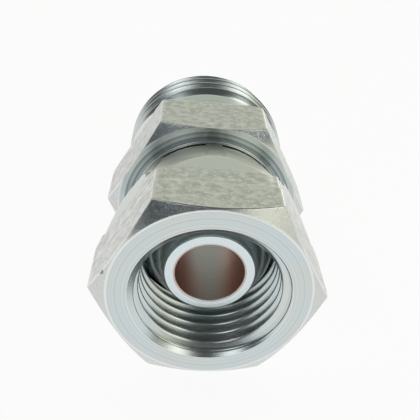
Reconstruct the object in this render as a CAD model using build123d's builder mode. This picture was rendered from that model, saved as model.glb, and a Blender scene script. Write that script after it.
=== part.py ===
"""Straight hydraulic fitting: a male stud adaptor with a crimped female swivel nut.

Millimetres. The axis of the fitting is the Y axis. The mouth of the swivel nut is at
Y = 0 and faces -Y, the male stud points to +Y, and +Z is up: the fitting lies on the
lower flats of its two hexagons, which are of one size.
"""
from build123d import *

import os
from math import cos, pi, radians, tan

# Hexagons, both cut from the same bar
across_flats = 27.0
bar_edge_radius = 0.3

# Threads. The stud has a metric thread of 27 by 2 mm, with its crests level with the flats,
# here as one ring groove for each turn. The nut's wall leaves the 18.631 mm bore of a
# 1/2 inch parallel pipe thread, here as a plain bore.
stud_thread_pitch = 2.0
stud_thread_turns = 3.6
stud_thread_depth = 1.227
stud_thread_crest = 0.25
nut_wall = 4.1845
nut_thread_pitch = 1.814
nut_thread_turns = 6.0

# Swivel nut, from its mouth backwards
nut_length = 20.7
nut_face_margin = 0.31
face_chamfer_angle = 30.0
mouth_chamfer = 1.28
seat_step = 1.58
seat_bore_length = 4.7
lip_overlap = 1.3

# The nut's crimped skirt
skirt_length = 7.5
skirt_root_step = 0.05
shoulder_angle = 28.0
lip_wall = 1.75
crimp_angle = 16.1
ridge_height = 0.4
lip_edge = 0.35
jaw_count = 8
jaw_span = 33.0
jaw_length = 11.7

# Fits between the nut and the body
swivel_clearance = 0.1
thread_end_clearance = 0.5
nose_thread_gap = 0.466
neck_gap = 0.6
lip_gap = 0.7

# Coned nose, collar and neck of the body
nose_height = 6.28
nose_taper = 2.66
nose_wall = 1.52
nose_edge = 0.15
cone_half_angle = 30.0
collar_length = 3.8
collar_chamfer = 0.5
collar_back = 1.8
land_step = 2.1
land_height = 0.5

# Hexagon of the body
hex_length = 9.7
hex_face_margin = 0.17
hex_back_chamfer = 0.85

# Male stud: a smooth shank next to the hexagon, an undercut, then the thread
shank_length = 3.9
shank_step = 0.2
undercut_length = 2.5
undercut_depth = 1.5
thread_end_chamfer = 1.2

# Flow bore, and the wider bore with its seat in the stud
bore_edge = 0.1
stud_wall = 5.9
stud_bore_depth = 21.5
drill_point_angle = 59.0
seat_widening = 2.6

# Radii that follow from the sizes above, all from the bar
flat_radius = across_flats / 2
corner_radius = flat_radius / cos(pi / 6)
nut_thread_radius = flat_radius - nut_wall
mouth_radius = nut_thread_radius + mouth_chamfer
seat_bore_radius = nut_thread_radius + seat_step
lip_inner_radius = seat_bore_radius - lip_overlap
lip_radius = lip_inner_radius + lip_wall
nose_radius = nut_thread_radius - nose_thread_gap
nose_face_radius = nose_radius - nose_taper
bore_radius = nose_face_radius - nose_wall
collar_radius = seat_bore_radius - swivel_clearance
neck_radius = lip_inner_radius - neck_gap
land_radius = flat_radius - land_step
stud_radius = flat_radius
shank_radius = stud_radius - shank_step
undercut_radius = stud_radius - undercut_depth
stud_bore_radius = stud_radius - stud_wall
seat_mouth_radius = stud_bore_radius + seat_widening

# Places along the axis, from the nut's mouth
nut_thread_length = nut_thread_turns * nut_thread_pitch
skirt_y = nut_length - skirt_length
collar_y = nut_thread_length + thread_end_clearance
nose_y = collar_y - nose_height
collar_back_y = collar_y + collar_length
land_y = nut_length + lip_gap
hex_y = land_y + land_height
hex_back_y = hex_y + hex_length
undercut_y = hex_back_y + shank_length
thread_y = undercut_y + undercut_length
stud_end_y = thread_y + stud_thread_turns * stud_thread_pitch

# Sizes that reach outside the bar, for tools that cut from the outside
outside = corner_radius + 2


def rise(run, angle):
    """Height gained over a run along a slope of this angle in degrees."""
    return run * tan(radians(angle))


def across_axis(y):
    """Plane square to the fitting's axis at this place, facing +Y."""
    return Plane(origin=(0, y, 0), x_dir=(1, 0, 0), z_dir=(0, 1, 0))


def hexagon_bar():
    """Section of the bar, with two flats level, in the sketch that calls it."""
    RegularPolygon(radius=flat_radius, side_count=6, major_radius=False)
    fillet(vertices(), radius=bar_edge_radius)


def turned(points):
    """Section of a turned form, from points of (radius, place along the axis)."""
    Polygon(*points, align=None)


# Swivel nut: a length of bar, turned at both ends, bored, then crimped
with BuildPart() as swivel_nut:
    with BuildSketch(across_axis(0)):
        hexagon_bar()
    extrude(amount=nut_length)

    # The 30 degree face chamfer leaves a round ring at the mouth. At the back the
    # corners run down a steeper cone to the skirt, which leans in to its lip.
    nut_face_radius = flat_radius - nut_face_margin
    skirt_root_radius = flat_radius - skirt_root_step
    skirt_lip_radius = lip_radius + ridge_height
    shoulder_run = (outside - skirt_root_radius) / tan(radians(shoulder_angle))
    with BuildSketch(Plane.XY):
        turned([
            (0, 0),
            (nut_face_radius, 0),
            (outside, rise(outside - nut_face_radius, face_chamfer_angle)),
            (outside, skirt_y - shoulder_run),
            (skirt_root_radius, skirt_y),
            (skirt_lip_radius, nut_length - lip_edge),
            (skirt_lip_radius - lip_edge, nut_length),
            (0, nut_length),
        ])
    revolve(axis=Axis.Y, mode=Mode.INTERSECT)

    # Each jaw of the press leaves a hollow-cone facet, and a ridge stays between two. The
    # facets fade out on the flats, and the jaws' front ends leave steps on the corners.
    jaw_front_y = nut_length - jaw_length
    jaw_front_radius = lip_radius + rise(jaw_length, crimp_angle)
    jaw_step = 360 / jaw_count
    for jaw in range(jaw_count):
        jaw_start = (jaw + 0.5) * jaw_step - jaw_span / 2
        with BuildSketch(Plane.XY.rotated((0, jaw_start, 0))):
            turned([
                (outside, jaw_front_y),
                (jaw_front_radius, jaw_front_y),
                (lip_radius, nut_length),
                (outside, nut_length),
            ])
        revolve(axis=Axis.Y, revolution_arc=jaw_span, mode=Mode.SUBTRACT)

    # Mouth chamfer, thread bore, the wider seat for the collar, and the crimped back
    seat_end_y = nut_thread_length + seat_bore_length
    with BuildSketch(Plane.XY):
        turned([
            (0, 0),
            (mouth_radius, 0),
            (nut_thread_radius, mouth_chamfer),
            (nut_thread_radius, nut_thread_length),
            (seat_bore_radius, nut_thread_length),
            (seat_bore_radius, seat_end_y),
            (lip_inner_radius, nut_length),
            (0, nut_length),
        ])
    revolve(axis=Axis.Y, mode=Mode.SUBTRACT)


# Adaptor body: turned from the same bar in one piece
with BuildPart() as adaptor_body:
    with BuildSketch(across_axis(hex_y)):
        hexagon_bar()
    extrude(amount=hex_length)

    # Chamfers of the hexagon: a wide one in front, and only the corners behind
    hex_face_radius = flat_radius + hex_face_margin
    hex_back_radius = corner_radius - hex_back_chamfer
    with BuildSketch(Plane.XY):
        turned([
            (0, hex_y),
            (hex_face_radius, hex_y),
            (outside, hex_y + rise(outside - hex_face_radius, face_chamfer_angle)),
            (outside, hex_back_y - rise(outside - hex_back_radius, face_chamfer_angle)),
            (hex_back_radius, hex_back_y),
            (0, hex_back_y),
        ])
    revolve(axis=Axis.Y, mode=Mode.INTERSECT)

    # Nose with its cone, collar, neck, and the land in front of the hexagon
    cone_length = nose_taper / tan(radians(cone_half_angle))
    with BuildSketch(Plane.XY):
        turned([
            (0, nose_y),
            (nose_face_radius - nose_edge, nose_y),
            (nose_face_radius, nose_y + nose_edge),
            (nose_radius, nose_y + nose_edge + cone_length),
            (nose_radius, collar_y),
            (collar_radius - collar_chamfer, collar_y),
            (collar_radius, collar_y + collar_chamfer),
            (collar_radius, collar_back_y),
            (neck_radius, collar_back_y + collar_back),
            (neck_radius, land_y),
            (land_radius, land_y),
            (land_radius, hex_y),
            (0, hex_y),
        ])
    revolve(axis=Axis.Y)

    # Shank, undercut and the thread's crests, with a chamfer at each end of the thread
    with BuildSketch(Plane.XY):
        turned([
            (0, hex_back_y),
            (shank_radius, hex_back_y),
            (shank_radius, undercut_y),
            (undercut_radius, undercut_y),
            (undercut_radius, thread_y - undercut_depth / 2),
            (stud_radius, thread_y + undercut_depth / 2),
            (stud_radius, stud_end_y - thread_end_chamfer),
            (stud_radius - thread_end_chamfer, stud_end_y),
            (0, stud_end_y),
        ])
    revolve(axis=Axis.Y)

    # Grooves of the thread, the first one behind a crest that starts where the chamfer ends.
    # Their flanks lean 30 degrees each way, as in every metric thread.
    thread_root_radius = stud_radius - stud_thread_depth
    groove_half = (stud_thread_pitch - stud_thread_crest) / 2
    root_half = groove_half - rise(stud_thread_depth, 30)
    first_groove_y = thread_y + undercut_depth / 2 + stud_thread_crest + groove_half
    for turn in range(int(stud_thread_turns)):
        groove_y = first_groove_y + turn * stud_thread_pitch
        with BuildSketch(Plane.XY):
            turned([
                (stud_radius, groove_y - groove_half),
                (thread_root_radius, groove_y - root_half),
                (thread_root_radius, groove_y + root_half),
                (stud_radius, groove_y + groove_half),
            ])
        revolve(axis=Axis.Y, mode=Mode.SUBTRACT)

    # Flow bore right through, widened from the stud's end, where a seat is cut
    stud_bore_y = stud_end_y - stud_bore_depth
    seat_depth = seat_widening / tan(radians(cone_half_angle))
    drill_point = (stud_bore_radius - bore_radius) / tan(radians(drill_point_angle))
    with BuildSketch(Plane.XY):
        turned([
            (0, nose_y),
            (bore_radius + bore_edge, nose_y),
            (bore_radius, nose_y + bore_edge),
            (bore_radius, stud_bore_y - drill_point),
            (stud_bore_radius, stud_bore_y),
            (stud_bore_radius, stud_end_y - seat_depth),
            (seat_mouth_radius, stud_end_y),
            (0, stud_end_y),
        ])
    revolve(axis=Axis.Y, mode=Mode.SUBTRACT)


# One file for each piece
swivel_nut.part.label = "swivel_nut"
adaptor_body.part.label = "adaptor_body"
os.makedirs("parts", exist_ok=True)
export_step(swivel_nut.part, "parts/swivel_nut.step")
export_step(adaptor_body.part, "parts/adaptor_body.step")

print("nut's thread ends at", round(nut_thread_length, 3), "and its skirt starts at", round(skirt_y, 3))
print("nose face, collar and its back at", round(nose_y, 3), round(collar_y, 3), round(collar_back_y, 3))
print("hexagon from", round(hex_y, 3), "to", round(hex_back_y, 3))
print("stud's thread from", round(thread_y, 3), "to", round(stud_end_y, 3))
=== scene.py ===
"""Looks of the straight hydraulic fitting: a swivel nut over an adaptor body, zinc plated.

Shapes are worked out in millimetres in the CAD frame and become metres when a mesh is
made. The axis of the fitting is Y, the nut's mouth is at Y = 0 and +Z is up.
"""
import math
import bpy
import numpy as np
from mathutils import Matrix, Vector


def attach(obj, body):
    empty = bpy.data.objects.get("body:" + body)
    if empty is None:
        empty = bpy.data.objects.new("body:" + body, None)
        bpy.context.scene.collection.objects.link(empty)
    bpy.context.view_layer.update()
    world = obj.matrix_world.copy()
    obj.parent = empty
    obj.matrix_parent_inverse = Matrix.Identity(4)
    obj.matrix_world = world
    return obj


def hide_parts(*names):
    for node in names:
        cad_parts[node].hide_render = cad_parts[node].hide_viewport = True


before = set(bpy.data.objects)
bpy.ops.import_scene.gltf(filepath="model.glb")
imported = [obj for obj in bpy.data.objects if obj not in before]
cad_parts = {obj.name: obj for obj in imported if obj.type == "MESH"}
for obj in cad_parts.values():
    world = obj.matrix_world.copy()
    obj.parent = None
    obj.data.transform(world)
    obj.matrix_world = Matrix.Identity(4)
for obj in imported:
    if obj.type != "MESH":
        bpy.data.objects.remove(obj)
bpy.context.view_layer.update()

MM = 0.001
SLOPE_30 = math.tan(math.radians(30.0))

# Hexagon bar: half its width across flats, and its rounded corners
FLAT = 13.5
BAR_EDGE = 0.3
CORNER = FLAT / math.cos(math.pi / 6)

# Swivel nut
NUT_LENGTH = 20.7
NUT_WALL = 4.1845
NUT_PITCH = 1.814
NUT_THREAD_TURNS = 6.0
NUT_THREAD_DEPTH = 1.162
NUT_THREAD_SHIFT = -0.5
NUT_THREAD_ANGLE = 27.5
MOUTH_CHAMFER = 1.28
NUT_FACE_MARGIN = 0.31
SEAT_STEP = 1.58
SEAT_LENGTH = 4.7
LIP_OVERLAP = 1.3
LIP_WALL = 1.75
LIP_EDGE = 0.35
LIP_BREAK = 0.1
SKIRT_LENGTH = 7.5
SKIRT_ROOT_STEP = 0.05
SHOULDER_SLOPE = math.tan(math.radians(28.0))
CRIMP_SLOPE = math.tan(math.radians(16.1))
RIDGE = 0.4
JAWS = 8
JAW_SPAN = 33.0
JAW_LENGTH = 11.7
STEP_LEAN = 0.4
PINCH_Y = 5.8
PINCH_DEPTH = 0.22
PINCH_RUN = 0.3
PINCH_RADII = 14.95, 15.35

# Adaptor body, from its nose backwards
THREAD_END_GAP = 0.5
NOSE_GAP = 0.466
NOSE_HEIGHT = 6.28
NOSE_TAPER = 2.66
NOSE_WALL = 1.52
NOSE_EDGE = 0.15
BORE_EDGE = 0.1
SWIVEL_GAP = 0.1
COLLAR_LENGTH = 3.8
COLLAR_CHAMFER = 0.5
COLLAR_SLOPE_LENGTH = 1.8
NECK_GAP = 0.6
LIP_GAP = 0.7
LAND_STEP = 2.1
LAND_HEIGHT = 0.5
HEX_LENGTH = 9.7
HEX_FACE_MARGIN = 0.17
HEX_BACK_CHAMFER = 0.85
SHANK_LENGTH = 3.9
SHANK_STEP = 0.2
UNDERCUT_LENGTH = 2.5
UNDERCUT_DEPTH = 1.5
STUD_PITCH = 2.0
STUD_THREAD_TURNS = 3.6
STUD_THREAD_DEPTH = 1.227
STUD_THREAD_SHIFT = 2.1
STUD_THREAD_ANGLE = 30.0
STUD_CHAMFER = 1.2
STUD_WALL = 5.9
STUD_BORE_DEPTH = 21.5
SEAT_WIDENING = 2.6
DRILL_SLOPE = math.tan(math.radians(59.0))

# Radii that follow from the sizes above
NUT_BORE = FLAT - NUT_WALL
NUT_MOUTH = NUT_BORE + MOUTH_CHAMFER
NUT_FACE = FLAT - NUT_FACE_MARGIN
SEAT_BORE = NUT_BORE + SEAT_STEP
LIP_INNER = SEAT_BORE - LIP_OVERLAP
LIP = LIP_INNER + LIP_WALL
SKIRT_ROOT = FLAT - SKIRT_ROOT_STEP
NOSE = NUT_BORE - NOSE_GAP
NOSE_FACE = NOSE - NOSE_TAPER
BORE = NOSE_FACE - NOSE_WALL
COLLAR = SEAT_BORE - SWIVEL_GAP
NECK = LIP_INNER - NECK_GAP
LAND = FLAT - LAND_STEP
HEX_FACE = FLAT + HEX_FACE_MARGIN
HEX_BACK_FACE = CORNER - HEX_BACK_CHAMFER
SHANK = FLAT - SHANK_STEP
UNDERCUT = FLAT - UNDERCUT_DEPTH
STUD_FACE = FLAT - STUD_CHAMFER
STUD_BORE = FLAT - STUD_WALL
SEAT_MOUTH = STUD_BORE + SEAT_WIDENING

# Places along the axis
NUT_THREAD_END = NUT_THREAD_TURNS * NUT_PITCH
SEAT_END = NUT_THREAD_END + SEAT_LENGTH
SKIRT_Y = NUT_LENGTH - SKIRT_LENGTH
JAW_FRONT = NUT_LENGTH - JAW_LENGTH
COLLAR_Y = NUT_THREAD_END + THREAD_END_GAP
COLLAR_BACK = COLLAR_Y + COLLAR_LENGTH
NOSE_Y = COLLAR_Y - NOSE_HEIGHT
CONE_END = NOSE_Y + NOSE_EDGE + NOSE_TAPER / SLOPE_30
BORE_SEAM = 9.0
LAND_Y = NUT_LENGTH + LIP_GAP
HEX_Y = LAND_Y + LAND_HEIGHT
HEX_BACK = HEX_Y + HEX_LENGTH
UNDERCUT_Y = HEX_BACK + SHANK_LENGTH
UNDERCUT_RISE = UNDERCUT_Y + UNDERCUT_LENGTH - UNDERCUT_DEPTH / 2
STUD_END = UNDERCUT_Y + UNDERCUT_LENGTH + STUD_THREAD_TURNS * STUD_PITCH
STUD_CHAMFER_Y = STUD_END - STUD_CHAMFER
STUD_SEAT_END = STUD_END - SEAT_WIDENING / SLOPE_30
STUD_BORE_END = STUD_END - STUD_BORE_DEPTH
DRILL_END = STUD_BORE_END - (STUD_BORE - BORE) / DRILL_SLOPE

# Columns of the grids: even ones, and close ones in degrees from a corner of the bar and from
# the side of a jaw
NUT_COLUMNS = 300
BODY_COLUMNS = 330
CORNER_COLUMNS = (-1.5, -0.9, -0.56, -0.36, -0.18, 0, 0.18, 0.36, 0.56, 0.9, 1.5)
JAW_SIDE_COLUMNS = (-0.9, -0.4, -0.13, 0.13, 0.4, 0.9)
JAW_STEP = 360 / JAWS

# Rows of the grids for one turn of a thread, and how far in the nut's thread is well seen
FINE_ROWS = 26
COARSE_ROWS = 12
THREAD_SEEN_TO = 7.4

# Soft corners of a profile: how much of a side one may take, how far out its guard rows stand
# in softnesses, and how much of a side they may take
SOFT_SHARE = 0.45
GUARD_REACH = 2.2
GUARD_SHARE = 0.48


def spokes(even, marks, offsets):
    """Angles of a grid's columns: an even set round the axis, and a close set of offsets in
    degrees at each marked angle. Even ones that fall inside a close set are left out."""
    marks = np.radians(np.asarray(marks, float))
    offsets = np.radians(np.asarray(offsets, float))
    close = (marks[:, None] + offsets[None, :]).ravel()
    plain = np.arange(even) * 2 * np.pi / even
    gap = np.abs(np.angle(np.exp(1j * (plain[:, None] - marks[None, :])))).min(1)
    angles = np.mod(np.concatenate([plain[gap > offsets.max() * 1.3], close]), 2 * np.pi)
    angles = np.sort(angles)
    keep = np.diff(angles, append=angles[0] + 2 * np.pi) > math.radians(0.04)
    return angles[keep]


def bar_spokes(even):
    """Angles of a grid's columns with close sets at the six corners of the bar."""
    return spokes(even, range(0, 360, 60), CORNER_COLUMNS)


def hexagon(theta):
    """Radius of the bar at an angle: half the width across flats over the cosine of the angle
    from the nearest flat's middle. Near a corner it is the far crossing of the ray with the
    circle that rounds the edge."""
    off = np.abs(np.mod(theta, np.pi / 3) - np.pi / 6)
    plain = FLAT / np.cos(off)
    centre = (FLAT - BAR_EDGE) / math.cos(math.pi / 6)
    turn = np.pi / 6 - off
    inside = np.maximum(BAR_EDGE ** 2 - (centre * np.sin(turn)) ** 2, 0)
    round_part = centre * np.cos(turn) + np.sqrt(inside)
    tangent = math.atan((FLAT - BAR_EDGE) * math.tan(math.pi / 6) / FLAT)
    return np.where(off > tangent, round_part, plain)


def smooth_step(low, high, value):
    """0 below low and 1 above high, with the cubic 3t^2 - 2t^3 between them."""
    t = np.clip((value - low) / (high - low), 0, 1)
    return t * t * (3 - 2 * t)


def between(share, at_none, at_full):
    """The first surface where the share is 0, the second where it is 1, and a straight mean
    between them."""
    return at_none + share * (at_full - at_none)


def softer_least(a, b, width):
    """The lesser of two surfaces, rounded where they cross: their mean less half the root of
    the squared difference plus the squared width."""
    return 0.5 * (a + b) - 0.5 * np.sqrt((a - b) ** 2 + width ** 2)


def softer_most(a, b, width):
    """The greater of two surfaces, rounded where they cross."""
    return -softer_least(-a, -b, width)


def thread_height(y, theta, pitch, depth, half_angle, bend=6.0):
    """Height of a right-handed screw thread, from 0 at the root to 1 at the crest. The place
    in turns is y over the pitch plus the angle over a full turn. The flank is straight with
    the thread's half angle, and x / (1 + |x|^n)^(1/n) rounds it off at the crest and root."""
    turns = y / pitch + theta / (2 * np.pi)
    place = 0.25 - np.abs(turns - np.floor(turns) - 0.5)
    steepness = pitch / math.tan(math.radians(half_angle)) / (depth / 2)
    x = place * steepness
    top = 0.25 * steepness
    limit = top / (1 + top ** bend) ** (1 / bend)
    return 0.5 + 0.5 * x / (1 + np.abs(x) ** bend) ** (1 / bend) / limit


def softened(corners, columns, steps=3):
    """Profile rows with soft corners, for all columns at once. A corner is (radius, place,
    softness). It gives a guard row on each side and, between them, rows on the quadratic
    curve that starts and ends at the softness from it. Returns radii, places and edge marks,
    which are 1 on the curve and 0 on the guards."""
    points = np.zeros((len(corners), columns, 2))
    for i, (radius, place, _) in enumerate(corners):
        points[i, :, 0] = radius
        points[i, :, 1] = place
    rows, marks = [points[0]], [0.0]
    for i in range(1, len(corners) - 1):
        soft = corners[i][2]
        before, after = points[i - 1] - points[i], points[i + 1] - points[i]
        back = np.linalg.norm(before, axis=1, keepdims=True)
        on = np.linalg.norm(after, axis=1, keepdims=True)
        before = before / np.maximum(back, 1e-9)
        after = after / np.maximum(on, 1e-9)
        start = points[i] + before * np.minimum(soft, back * SOFT_SHARE)
        end = points[i] + after * np.minimum(soft, on * SOFT_SHARE)
        rows.append(points[i] + before * np.minimum(soft * GUARD_REACH, back * GUARD_SHARE))
        marks.append(0.0)
        for t in np.linspace(0, 1, steps + 1):
            rows.append((1 - t) ** 2 * start + 2 * t * (1 - t) * points[i] + t * t * end)
            marks.append(1.0)
        rows.append(points[i] + after * np.minimum(soft * GUARD_REACH, on * GUARD_SHARE))
        marks.append(0.0)
    rows = np.array(rows + [points[-1]])
    return rows[:, :, 0], rows[:, :, 1], np.array(marks + [0.0])


def ring_mesh(name, radius, place, theta, marks):
    """Closed mesh of a form with a hole along Y. Row i and column j of the grid are at radius
    times (cos, sin) of the column's angle, and at place along Y. The last row joins the
    first, and the last column the first. Each point's normal is the sum of the area vectors
    of the faces round it, so broad faces stay flat beside their soft edges. Each mark is a
    share from 0 to 1 at every point, which the finish reads."""
    rows, columns = radius.shape
    points = np.stack([radius * np.cos(theta), place, radius * np.sin(theta)], -1).reshape(-1, 3)
    index = np.arange(rows * columns).reshape(rows, columns)
    a, b = index, np.roll(index, -1, 1)
    c, d = np.roll(b, -1, 0), np.roll(index, -1, 0)
    quads = np.stack([a, b, c, d], -1).reshape(-1, 4)
    corners = points[quads]
    area = np.cross(corners[:, 2] - corners[:, 0], corners[:, 3] - corners[:, 1])
    if np.sum(area * corners.mean(1)) < 0:
        quads, area = quads[:, ::-1], -area
    normals = np.zeros_like(points)
    for k in range(4):
        np.add.at(normals, quads[:, k], area)
    normals /= np.maximum(np.linalg.norm(normals, axis=1, keepdims=True), 1e-12)
    mesh = bpy.data.meshes.new(name)
    mesh.vertices.add(len(points))
    mesh.loops.add(quads.size)
    mesh.polygons.add(len(quads))
    mesh.vertices.foreach_set("co", (points * MM).ravel())
    mesh.loops.foreach_set("vertex_index", quads.ravel())
    mesh.polygons.foreach_set("loop_start", np.arange(0, quads.size, 4))
    mesh.update(calc_edges=True)
    mesh.polygons.foreach_set("use_smooth", np.ones(len(quads), bool))
    for mark, share in marks.items():
        layer = mesh.attributes.new(mark, "FLOAT", "POINT")
        layer.data.foreach_set("value", share.ravel().astype(np.float32))
    mesh.normals_split_custom_set_from_vertices(normals)
    mesh.validate()
    piece = bpy.data.objects.new(name, mesh)
    bpy.context.scene.collection.objects.link(piece)
    return piece


def corner_glow(theta):
    """Edge mark of the bar's six corners: 1 within half a degree, 0 beyond one and a half."""
    off = np.degrees(np.pi / 6 - np.abs(np.mod(theta, np.pi / 3) - np.pi / 6))
    return 1 - smooth_step(0.5, 1.5, off)


def edge_marks(rows, skin, theta):
    """Edge marks at every point: those of the profile's rows, and on the bar's skin those of
    its corners."""
    return np.maximum(rows[:, None], skin * corner_glow(theta))


def jaw_share(theta):
    """1 where a jaw of the press bore on the nut and 0 on the ridges between the eight jaws,
    which stand at 22.5 degrees and every 45 degrees on."""
    off = np.abs(np.mod(np.degrees(theta), JAW_STEP) - JAW_STEP / 2)
    return 1 - smooth_step(JAW_SPAN / 2 - 0.4, JAW_SPAN / 2 + 0.4, off)


def nut_columns():
    """Angles of the nut's columns, close together at the bar's corners and the jaws' sides."""
    middles = (np.arange(JAWS) + 0.5) * JAW_STEP
    sides = np.concatenate([middles - JAW_SPAN / 2, middles + JAW_SPAN / 2])
    theta = np.concatenate([bar_spokes(NUT_COLUMNS), spokes(JAWS, sides, JAW_SIDE_COLUMNS)])
    theta = np.unique(np.round(np.sort(theta), 5))
    return theta[np.diff(theta, append=theta[0] + 2 * np.pi) > math.radians(0.05)]


def nut_thread(theta):
    """Radii and places of the nut's thread, from its back end to the mouth, where the chamfer
    cuts it off. Its rows are closer in front, where it is well seen."""
    fine = np.arange(0.03, THREAD_SEEN_TO, NUT_PITCH / FINE_ROWS)
    coarse = np.arange(THREAD_SEEN_TO, NUT_THREAD_END, NUT_PITCH / COARSE_ROWS)
    y = np.concatenate([fine, coarse])[::-1, None] + np.zeros((1, len(theta)))
    along = y + NUT_THREAD_SHIFT
    height = thread_height(along, theta, NUT_PITCH, NUT_THREAD_DEPTH, NUT_THREAD_ANGLE)
    bore = NUT_BORE + NUT_THREAD_DEPTH * (1 - height)
    return softer_most(bore, NUT_MOUTH - y, 0.06), y


def swivel_nut():
    """The nut as one closed grid: thread and mouth chamfer, face ring, chamfered hexagon,
    crimped skirt and the bore behind the thread. Each jaw's facet is a hollow cone that starts
    on the hexagon, where it leaves a step on the corners, and runs down to the lip. Where the
    corners stick out most, they are pinched a little in front of it."""
    theta = nut_columns()
    rho = hexagon(theta)
    jaw = jaw_share(theta)
    bore, bore_y = nut_thread(theta)

    chamfer_y = (rho - NUT_FACE) * SLOPE_30
    pinched = rho - PINCH_DEPTH * smooth_step(*PINCH_RADII, rho) * jaw
    ridge_start = SKIRT_Y - (rho - SKIRT_ROOT) / SHOULDER_SLOPE
    jaw_start = NUT_LENGTH - (pinched - LIP) / CRIMP_SLOPE
    jaw_start = np.maximum(np.minimum(jaw_start, ridge_start), JAW_FRONT)
    facet = np.minimum(pinched, LIP + (NUT_LENGTH - jaw_start) * CRIMP_SLOPE)
    flat_end = between(jaw, ridge_start, jaw_start)
    step = between(jaw, rho, facet)
    step_y = flat_end + 0.02 + (pinched - step) * STEP_LEAN
    wander = 0.12 * np.sin(7 * theta + 1.0) + 0.08 * np.sin(17 * theta)
    pinch_y = np.minimum(PINCH_Y + wander, flat_end - 0.5)
    root = between(jaw, SKIRT_ROOT, SKIRT_ROOT - 0.02)
    lip_start = between(jaw, LIP + RIDGE, LIP + LIP_EDGE * CRIMP_SLOPE)
    lip_middle = between(jaw, LIP + RIDGE + LIP_BREAK - LIP_EDGE, LIP + LIP_BREAK * CRIMP_SLOPE)
    lip_end = between(jaw, LIP + RIDGE - LIP_EDGE, LIP - LIP_BREAK)
    outer = softened([
        (bore[-1], bore_y[-1], 0),
        (NUT_MOUTH, 0, 0.05),
        (NUT_FACE, 0, 0.1),
        (rho, chamfer_y, 0.12),
        (rho, pinch_y, 0.08),
        (pinched, pinch_y + PINCH_RUN, 0.08),
        (pinched, flat_end, 0.1),
        (step, step_y, 0.3),
        (root, SKIRT_Y, 0.5),
        (lip_start, NUT_LENGTH - LIP_EDGE, 0.1),
        (lip_middle, NUT_LENGTH - LIP_BREAK, 0.05),
        (lip_end, NUT_LENGTH, 0.08),
        (LIP_INNER, NUT_LENGTH, 0.15),
        (SEAT_BORE, SEAT_END, 0.4),
        (SEAT_BORE, NUT_THREAD_END, 0.1),
        (bore[0], bore_y[0], 0),
    ], len(theta))
    radius = np.concatenate([bore, outer[0][1:-1]])
    place = np.concatenate([bore_y, outer[1][1:-1]])
    rows = np.concatenate([np.zeros(len(bore)), outer[2][1:-1]])

    outside = np.arange(len(radius))[:, None] >= len(bore)
    skin = outside & (radius > pinched - 0.02) & (place > chamfer_y - 0.02)
    crimped = outside & ~skin & (place > JAW_FRONT) & (radius > LIP - 0.2)
    marks = {
        "edge": edge_marks(rows, skin, theta),
        "skin": skin,
        "chamfer": outside & (radius > NUT_FACE + 0.05) & (place < chamfer_y - 0.05),
        "pressed": crimped & (jaw > 0.5),
        "ridge": crimped & (jaw <= 0.5),
    }
    return ring_mesh("swivel_nut_dressed", radius, place, theta, marks)


def stud_thread(theta):
    """Radii and places of the stud's thread. The slope out of the undercut cuts it off in
    front, and the chamfer at the stud's end behind."""
    rows = np.arange(UNDERCUT_RISE, STUD_END - 0.02, STUD_PITCH / FINE_ROWS)
    y = rows[:, None] + np.zeros((1, len(theta)))
    along = y + STUD_THREAD_SHIFT
    height = thread_height(along, theta, STUD_PITCH, STUD_THREAD_DEPTH, STUD_THREAD_ANGLE)
    stud = FLAT - STUD_THREAD_DEPTH * (1 - height)
    stud = softer_least(stud, UNDERCUT + y - UNDERCUT_RISE, 0.08)
    return softer_least(stud, FLAT - (y - STUD_CHAMFER_Y), 0.08), y


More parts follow.
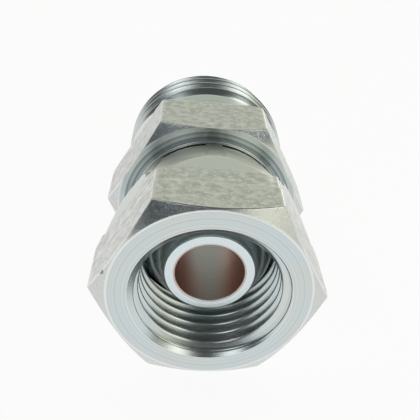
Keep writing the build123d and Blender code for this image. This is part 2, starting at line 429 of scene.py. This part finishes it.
def adaptor_body():
    """The body as one closed grid: nose and cone, collar and neck, land, hexagon, shank,
    undercut, threaded stud and the bore right through, where the grid joins itself."""
    theta = bar_spokes(BODY_COLUMNS)
    rho = hexagon(theta)
    stud, stud_y = stud_thread(theta)

    front_y = HEX_Y + np.maximum(rho - HEX_FACE, 0.004) * SLOPE_30
    back_y = HEX_BACK - np.maximum(rho - HEX_BACK_FACE, 0.004) * SLOPE_30
    fore = softened([
        (BORE, BORE_SEAM, 0),
        (BORE, NOSE_Y + BORE_EDGE, 0.05),
        (BORE + BORE_EDGE, NOSE_Y, 0.05),
        (NOSE_FACE - NOSE_EDGE, NOSE_Y, 0.06),
        (NOSE_FACE, NOSE_Y + NOSE_EDGE, 0.06),
        (NOSE, CONE_END, 0.2),
        (NOSE, COLLAR_Y, 0.15),
        (COLLAR - COLLAR_CHAMFER, COLLAR_Y, 0.1),
        (COLLAR, COLLAR_Y + COLLAR_CHAMFER, 0.1),
        (COLLAR, COLLAR_BACK, 0.1),
        (NECK, COLLAR_BACK + COLLAR_SLOPE_LENGTH, 0.2),
        (NECK, LAND_Y, 0.1),
        (LAND, LAND_Y, 0.09),
        (LAND, HEX_Y, 0.06),
        (np.minimum(HEX_FACE, rho), HEX_Y, 0.1),
        (rho, front_y, 0.12),
        (rho, back_y, 0.12),
        (np.minimum(HEX_BACK_FACE, rho), HEX_BACK, 0.1),
        (SHANK, HEX_BACK, 0.05),
        (SHANK, UNDERCUT_Y, 0.15),
        (UNDERCUT, UNDERCUT_Y, 0.3),
        (stud[0], stud_y[0], 0),
    ], len(theta))
    aft = softened([
        (stud[-1], stud_y[-1], 0),
        (STUD_FACE, STUD_END, 0.1),
        (SEAT_MOUTH, STUD_END, 0.12),
        (STUD_BORE, STUD_SEAT_END, 0.15),
        (STUD_BORE, STUD_BORE_END, 0.2),
        (BORE, DRILL_END, 0.2),
        (BORE, BORE_SEAM, 0),
    ], len(theta))
    radius = np.concatenate([fore[0][:-1], stud, aft[0][1:-1]])
    place = np.concatenate([fore[1][:-1], stud_y, aft[1][1:-1]])
    rows = np.concatenate([fore[2][:-1], np.zeros(len(stud)), aft[2][1:-1]])

    in_hex = (place > HEX_Y - 0.01) & (place < HEX_BACK + 0.01)
    skin = in_hex & (radius > rho - 0.01) & (place > front_y - 0.01) & (place < back_y + 0.01)
    in_land = (place > LAND_Y - 0.01) & (place < HEX_Y + 0.01)
    land = in_land & (np.abs(radius - LAND) < 0.03)
    marks = {
        "edge": np.maximum(edge_marks(rows, skin, theta), land),
        "skin": skin,
        "chamfer": in_hex & (radius > HEX_FACE + 0.05) & (place < front_y - 0.04),
        "pressed": np.zeros_like(radius),
        "ridge": np.zeros_like(radius),
    }
    return ring_mesh("adaptor_body_dressed", radius, place, theta, marks)


class Value:
    """A number or colour that varies over a surface. Python's arithmetic on it adds nodes."""

    def __init__(self, nodes, socket):
        self.nodes, self.socket = nodes, socket

    def math(self, operation, *values):
        return self.nodes.node("ShaderNodeMath", {"operation": operation}, dict(enumerate(values)))

    def __add__(self, other):
        return self.math("ADD", self, other)

    def __radd__(self, other):
        return self.math("ADD", other, self)

    def __sub__(self, other):
        return self.math("SUBTRACT", self, other)

    def __rsub__(self, other):
        return self.math("SUBTRACT", other, self)

    def __mul__(self, other):
        return self.math("MULTIPLY", self, other)

    def __rmul__(self, other):
        return self.math("MULTIPLY", other, self)

    def __abs__(self):
        return self.math("ABSOLUTE", self)

    def most(self, other):
        return self.math("MAXIMUM", self, other)

    def least(self, other):
        return self.math("MINIMUM", self, other)

    def ramp(self, low, high):
        """0 below low and 1 above high, smooth between. low may be the greater one."""
        return self.nodes.node("ShaderNodeMapRange", {"interpolation_type": "SMOOTHSTEP"}, {
            "Value": self, "From Min": low, "From Max": high})

    def band(self, low, high, soft):
        """1 between low and high, fading out over the soft width at both ends."""
        return self.ramp(low - soft, low) * self.ramp(high + soft, high)


class Nodes:
    """The node tree of a material or a world."""

    def __init__(self, owner):
        owner.use_nodes = True
        self.tree = owner.node_tree
        self.tree.nodes.clear()

    def node(self, kind, settings=None, values=None, output=0):
        """Adds a node: its settings first, then the values or links of its sockets."""
        made = self.tree.nodes.new(kind)
        for key, setting in (settings or {}).items():
            setattr(made, key, setting)
        for key, value in (values or {}).items():
            if isinstance(value, Value):
                self.tree.links.new(value.socket, made.inputs[key])
            else:
                made.inputs[key].default_value = value
        return Value(self, made.outputs[output])

    def axes(self, vector):
        """The x, y and z of a vector."""
        return [self.node("ShaderNodeSeparateXYZ", None, {0: vector}, axis) for axis in "XYZ"]

    def mixed(self, share, a, b):
        return self.node("ShaderNodeMix", {"data_type": "RGBA"}, {0: share, 6: a, 7: b}, 2)

    def end(self, kind, shader):
        """Ends the tree in the output node of its kind."""
        out = self.tree.nodes.new(kind)
        self.tree.links.new(shader.socket, out.inputs[0])


class Finish(Nodes):
    """One procedural material. x, y and z are millimetres in the CAD frame, and round is the
    distance from the axis."""

    def __init__(self, name):
        self.material = bpy.data.materials.new(name)
        super().__init__(self.material)
        place = self.node("ShaderNodeTexCoord", output="Object")
        self.place = self.node("ShaderNodeVectorMath", {"operation": "SCALE"}, {
            0: place, "Scale": 1 / MM})
        self.x, self.y, self.z = self.axes(self.place)
        self.round = self.node("ShaderNodeVectorMath", {"operation": "LENGTH"}, {
            0: self.point(self.x, 0.0, self.z)}, "Value")

    def point(self, x, y, z):
        return self.node("ShaderNodeCombineXYZ", None, {0: x, 1: y, 2: z})

    def from_point(self, spot):
        """Distance from a point of the CAD frame."""
        return self.node("ShaderNodeVectorMath", {"operation": "DISTANCE"}, {
            0: self.place, 1: spot}, "Value")

    def mark(self, name):
        """Share from 0 to 1 that a mesh carries at its points."""
        return self.node("ShaderNodeAttribute", {"attribute_name": name}, None, "Fac")

    def noise(self, at, scale, detail=2.0, roughness=0.5):
        return self.node("ShaderNodeTexNoise", None, {
            "Vector": at, "Scale": scale, "Detail": detail, "Roughness": roughness}, "Fac")

    def drawn_noise(self, share, scale, detail, roughness):
        """Noise with its x and z times a share, so that its spots are longer across the bar."""
        at = self.point(self.x * share, self.y, self.z * share)
        return self.noise(at, scale, detail, roughness)

    def rings(self, along, scale, detail):
        """Tool marks: noise that depends only on the distance along the cut."""
        return self.node("ShaderNodeTexNoise", {"noise_dimensions": "1D"}, {
            "W": along, "Scale": scale, "Detail": detail, "Roughness": 0.6}, "Fac")

    def plated(self, colour, roughness, height):
        """Ends the material in a metal shader. The height's unit is a twentieth of a
        millimetre."""
        normal = self.node("ShaderNodeBump", None, {
            "Height": height, "Distance": 0.05 * MM, "Strength": 0.8}, "Normal")
        self.end("ShaderNodeOutputMaterial", self.node("ShaderNodeBsdfPrincipled", None, {
            "Base Color": colour, "Roughness": roughness, "Metallic": 1.0, "Normal": normal}))


# Colours of the plating. A pair is the two ends of a pattern.
TURNED = (0.60, 0.67, 0.68, 1), (0.62, 0.66, 0.64, 1)
TOOL_MARK = (0.42, 0.46, 0.48, 1)
FINE_TOOL_MARK = (0.74, 0.79, 0.80, 1)
PLAIN_CHAMFER = (0.60, 0.62, 0.60, 1)
# Painted dark reflection on the upper parts of the hexagons' front chamfers, as the two ends of a
# grain pattern
PAINTED_CHAMFER_REFLECTION = (0.12, 0.15, 0.16, 1), (0.34, 0.38, 0.40, 1)
CHAMFER_SPECK = (0.90, 0.91, 0.86, 1)
DING = (0.12, 0.11, 0.10, 1)
NOSE_END = (0.68, 0.76, 0.78, 1)
SLATE_FACE = (0.24, 0.29, 0.32, 1), (0.58, 0.65, 0.68, 1)
PRESSED_FACET = (0.90, 0.89, 0.79, 1)
PRESSED_SKIN = (0.73, 0.755, 0.74, 1)
DRAWN_SKIN = (0.58, 0.59, 0.57, 1), (0.82, 0.82, 0.81, 1)
SKIN_FLECK = (0.98, 0.98, 0.95, 1)
RIDGE_SKIN = (0.40, 0.42, 0.36, 1), (0.68, 0.70, 0.60, 1)
BORE_STREAKS = (0.54, 0.52, 0.49, 1), (0.66, 0.62, 0.56, 1)
BORE_SIDE = (0.60, 0.36, 0.30, 1)
BARE_EDGE = (0.95, 0.96, 0.94, 1)

# The ding on the nut's front chamfer, at its left corner
DING_SPOT = (-13.7, 0.5, 3.3)

# Where the nut's mottle ends along Y, because the press rubbed its skin behind that
NUT_MOTTLED_TO = 9.4

# How far outside the flow bore its finish reaches onto the nose's end, and where it is gone
BORE_FINISH = 0.23
BORE_FINISH_GONE = 0.31


def turned_colour(f, rings, fine_rings):
    """Clean turned metal with coarse and fine tool marks."""
    cloud = f.noise(f.place, 0.16)
    colour = f.mixed(cloud.ramp(0.35, 0.65), *TURNED)
    colour = f.mixed(rings.ramp(0.40, 0.68) * 0.35, colour, TOOL_MARK)
    return f.mixed(fine_rings.ramp(0.50, 0.70) * 0.2, colour, FINE_TOOL_MARK)


def chamfer_over(f, colour, chamfer, grain):
    """The hexagons' front chamfers over a colour. A dark reflection is painted on the body's near
    the top, and on both at the upper left. They carry pale specks, and the nut's has one ding."""
    # Painted dark reflection: near the top of the body's chamfer and at the upper left of both
    # chamfers
    body_top_painted_reflection = f.y.ramp(20.0, 21.0) * f.z.ramp(10.5, 12.2)
    upper_left_painted_reflection = f.x.ramp(1.0, -4.0) * f.z.ramp(8.0, 10.5) * 0.85
    specks = f.noise(f.place, 9.0, 1.0).ramp(0.60, 0.70)
    # Colour of the painted dark reflection, varied by grain
    dark = f.mixed(grain.ramp(0.3, 0.7), *PAINTED_CHAMFER_REFLECTION)
    ding = f.from_point(DING_SPOT).ramp(0.55, 0.3) * grain.ramp(0.3, 0.45)
    colour = f.mixed(chamfer, colour, PLAIN_CHAMFER)
    colour = f.mixed(chamfer * body_top_painted_reflection.most(upper_left_painted_reflection), colour, dark)
    colour = f.mixed(chamfer * specks * 0.7, colour, CHAMFER_SPECK)
    return f.mixed(ding, colour, DING)


def skin_over(f, colour, skin, mottle, ridge, patches, grain):
    """The bar's skin over a colour: clean where the press rubbed it, elsewhere mottled with
    pale flecks, and darker on the ridges between the jaws."""
    flecks = f.drawn_noise(0.7, 3.2, 2.0, 0.6).ramp(0.56, 0.66)
    colour = f.mixed(skin, colour, PRESSED_SKIN)
    mottled = f.mixed(patches.ramp(0.34, 0.66), *DRAWN_SKIN)
    mottled = f.mixed(flecks * 0.65, mottled, SKIN_FLECK)
    mottled = f.mixed(ridge, mottled, f.mixed(grain.ramp(0.3, 0.7), *RIDGE_SKIN))
    return f.mixed(mottle, colour, mottled)


def bore_over(f, colour, bored):
    """The flow bore over a colour: grey with streaks along Y, and brown at both sides."""
    streaks = f.rings(f.y, 5.0, 3.0).ramp(0.35, 0.7)
    side = abs(f.x).ramp(0.21 * BORE, 0.945 * BORE)
    brown = f.mixed(side, f.mixed(streaks, *BORE_STREAKS), BORE_SIDE)
    return f.mixed(bored, colour, brown)


def zinc(name, mottled_to):
    """Zinc plating of one piece. Layer by layer from below it is turned metal, chamfers with a
    painted dark reflection, the nose's end, the front face of the body's hexagon, pressed
    facets, the bar's skin with its mottle as far as mottled_to along Y, the flow bore and bare
    bright edges."""
    f = Finish(name)
    skin, chamfer, pressed, ridge, edge = (
        f.mark(m) for m in ("skin", "chamfer", "pressed", "ridge", "edge"))
    mottle = (skin * f.y.ramp(mottled_to + 0.7, mottled_to - 0.7)).most(ridge)
    turned = (1 - skin) * (1 - pressed)
    nose = f.y.band(NOSE_Y - 0.054, NOSE_Y + 0.096, 0.05)
    nose = nose * f.round.ramp(NOSE_FACE + 0.41, NOSE_FACE + 0.11)
    face = f.y.band(HEX_Y - 0.1, HEX_Y + 0.1, 0.1) * (1 - chamfer) * turned
    bored = f.round.ramp(BORE + BORE_FINISH_GONE, BORE + BORE_FINISH)

    grain = f.noise(f.place, 5.5, 3.0, 0.6)
    patches = f.drawn_noise(0.75, 1.1, 4.0, 0.6)
    rings = f.rings(f.round + f.y * 0.61, 1.6, 5.0)
    fine_rings = f.rings(f.round - f.y * 0.83, 8.0, 2.0)

    colour = turned_colour(f, rings, fine_rings)
    colour = chamfer_over(f, colour, chamfer, grain)
    colour = f.mixed(nose, colour, NOSE_END)
    colour = f.mixed(face, colour, f.mixed(rings.ramp(0.35, 0.65), *SLATE_FACE))
    colour = f.mixed(pressed, colour, PRESSED_FACET)
    colour = skin_over(f, colour, skin, mottle, ridge, patches, grain)
    colour = bore_over(f, colour, bored)
    colour = f.mixed(edge * 0.45, colour, BARE_EDGE)

    roughness = 0.24 + skin * 0.18 + pressed * 0.08 + chamfer * 0.03 + face * 0.12
    roughness = roughness + bored * 0.2 + mottle * patches * 0.1 - edge * 0.04
    height = mottle * (patches * 0.5 + grain * 0.3) + turned * (rings * 0.3 + fine_rings * 0.15)
    height = height + chamfer * grain * 0.6 + ridge * grain * 0.8
    f.plated(colour, roughness, height)
    return f.material


def floor_finish():
    """Pale floor. The lens and mirrors see mostly a plain white, and a small lit part keeps
    the object's shadow."""
    f = Finish("floor_white")
    rays = ("Is Camera Ray", "Is Glossy Ray", "Is Transmission Ray")
    lens, mirrors, glass = (f.node("ShaderNodeLightPath", output=ray) for ray in rays)
    seen = (lens + mirrors + glass).least(1.0) * 0.86
    lit = f.node("ShaderNodeBsdfDiffuse", None, {"Color": (0.85, 0.85, 0.85, 1)})
    white = f.node("ShaderNodeEmission", None, {"Color": (1, 1, 1, 1), "Strength": 1.06})
    mix = f.node("ShaderNodeMixShader", None, {0: seen, 1: lit, 2: white})
    f.end("ShaderNodeOutputMaterial", mix)
    return f.material


def floor():
    """A round floor under the lower flats: a sheet of rings whose radius grows with the square
    of the row, closed at its centre by a small fan."""
    rings, columns, reach = 12, 96, 2.0
    middle = (0, 0.02, -FLAT * MM)
    theta = np.linspace(0, 2 * np.pi, columns, endpoint=False)
    radii = reach * np.linspace(0.05, 1, rings)[:, None] ** 2
    points = np.stack(np.broadcast_arrays(
        middle[0] + radii * np.cos(theta), middle[1] + radii * np.sin(theta), middle[2]), -1)
    points = np.concatenate([points.reshape(-1, 3), [middle]])
    index = np.arange(rings * columns).reshape(rings, columns)
    after = np.roll(index, -1, 1)
    quads = np.stack([index[:-1], index[1:], after[1:], after[:-1]], -1).reshape(-1, 4)
    fan = np.stack([index[0], after[0], np.full(columns, rings * columns)], -1)
    mesh = bpy.data.meshes.new("floor")
    mesh.from_pydata(points.tolist(), [], quads.tolist() + fan.tolist())
    piece = bpy.data.objects.new("floor", mesh)
    bpy.context.scene.collection.objects.link(piece)
    piece.data.materials.append(floor_finish())


# Colours of the studio, in front of and behind the object, and at the horizon
FRONT_SKY = (0.06, 0.065, 0.07, 1)
BACK_SKY = (0.56, 0.59, 0.50, 1)
HORIZON = (0.92, 0.93, 0.93, 1)

# Bright patches of the studio: direction, narrow and wide angle in degrees, colour
PATCHES = (
    ((0.54, -0.79, 0.29), 8, 22, (1.2, 1.18, 0.98, 1)),
    ((-0.375, -0.70, 0.61), 6, 15, (1.5, 1.5, 1.5, 1)),
    ((0.484, -0.66, 0.57), 6, 15, (1.5, 1.5, 1.42, 1)),
    ((0.52, 0.85, 0.13), 8, 20, (1.3, 1.28, 1.1, 1)),
)

# Disc lamps in metres and watts: name, place, width, power, colour
LAMPS = (
    ("lamp_left", (-0.40, -0.32, 0.52), 0.30, 0.25, (1.0, 1.0, 1.0)),
    ("lamp_right", (0.42, -0.30, 0.50), 0.30, 0.28, (1.0, 0.99, 0.94)),
    ("lamp_back", (0.45, 0.60, 0.16), 0.25, 0.18, (1.0, 0.99, 0.92)),
)
LAMP_AIM = Vector((0, -0.02, 0))


def sky():
    """A world that is dark above the front, khaki above the back and white at the horizon of
    the back and sides, with bright patches. A patch is 1 within its narrow angle of its
    direction and 0 beyond its wide one."""
    world = bpy.data.worlds.new("studio")
    bpy.context.scene.world = world
    nodes = Nodes(world)
    x, y, z = nodes.axes(nodes.node("ShaderNodeTexCoord", output="Generated"))
    colour = nodes.mixed(y.ramp(-0.2, 0.35), FRONT_SKY, BACK_SKY)
    horizon = z.ramp(0.30, 0.08) * y.ramp(-0.75, -0.45).most(abs(x).ramp(0.5, 0.75))
    colour = nodes.mixed(horizon, colour, HORIZON)
    for towards, narrow, wide, glow in PATCHES:
        length = math.hypot(*towards)
        near = x * (towards[0] / length) + y * (towards[1] / length) + z * (towards[2] / length)
        share = near.ramp(math.cos(math.radians(wide)), math.cos(math.radians(narrow)))
        colour = nodes.mixed(share, colour, glow)
    light = nodes.node("ShaderNodeBackground", None, {"Color": colour, "Strength": 1.0})
    nodes.end("ShaderNodeOutputWorld", light)


def lamps():
    """Soft lamps at the upper left, upper right and back right."""
    for name, spot, width, power, colour in LAMPS:
        data = bpy.data.lights.new(name, "AREA")
        data.shape, data.size, data.energy, data.color = "DISK", width, power, colour
        lamp = bpy.data.objects.new(name, data)
        bpy.context.scene.collection.objects.link(lamp)
        lamp.location = spot
        lamp.rotation_mode = "QUATERNION"
        lamp.rotation_quaternion = (LAMP_AIM - Vector(spot)).to_track_quat("-Z", "Y")


def camera():
    """Camera fitted to the photograph's edges: place in mm, heading from +Y towards +X, pitch
    and roll in degrees, focal length and lens axis in pixels of the photograph's frame."""
    frame_width = 420
    sensor_width = 36.0
    spot = np.array([-5.082, -57.693, 48.969])
    heading, pitch, roll = np.radians([8.968, -34.633, 8.106])
    focal, axis_x, axis_y = 593.183, 250.0, 245.0
    level = np.array([np.sin(heading), np.cos(heading), 0])
    ahead = level * np.cos(pitch) + np.array([0, 0, np.sin(pitch)])
    right = np.cross(level, [0, 0, 1])
    up = np.cross(right, ahead)
    right, up = right * np.cos(roll) + up * np.sin(roll), up * np.cos(roll) - right * np.sin(roll)
    data = bpy.data.cameras.new("camera")
    data.sensor_fit = "HORIZONTAL"
    data.sensor_width = sensor_width
    data.lens = focal / frame_width * sensor_width
    data.shift_x = 0.5 - axis_x / frame_width
    data.shift_y = axis_y / frame_width - 0.5
    data.clip_start, data.clip_end = 0.002, 20.0
    made = bpy.data.objects.new("camera", data)
    bpy.context.scene.collection.objects.link(made)
    turn = np.stack([right, up, -ahead], 1)
    made.matrix_world = Matrix.Translation(spot * MM) @ Matrix(turn.tolist()).to_4x4()
    bpy.context.scene.camera = made


camera()
sky()
lamps()
floor()
nut = swivel_nut()
nut.data.materials.append(zinc("nut_zinc", NUT_MOTTLED_TO))
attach(nut, "nut")
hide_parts("swivel_nut")
body = adaptor_body()
body.data.materials.append(zinc("body_zinc", HEX_BACK))
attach(body, "body")
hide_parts("adaptor_body")

bpy.context.scene.view_settings.view_transform = "Standard"
print("triangles", [(o.name, 2 * len(o.data.polygons)) for o in (nut, body)])
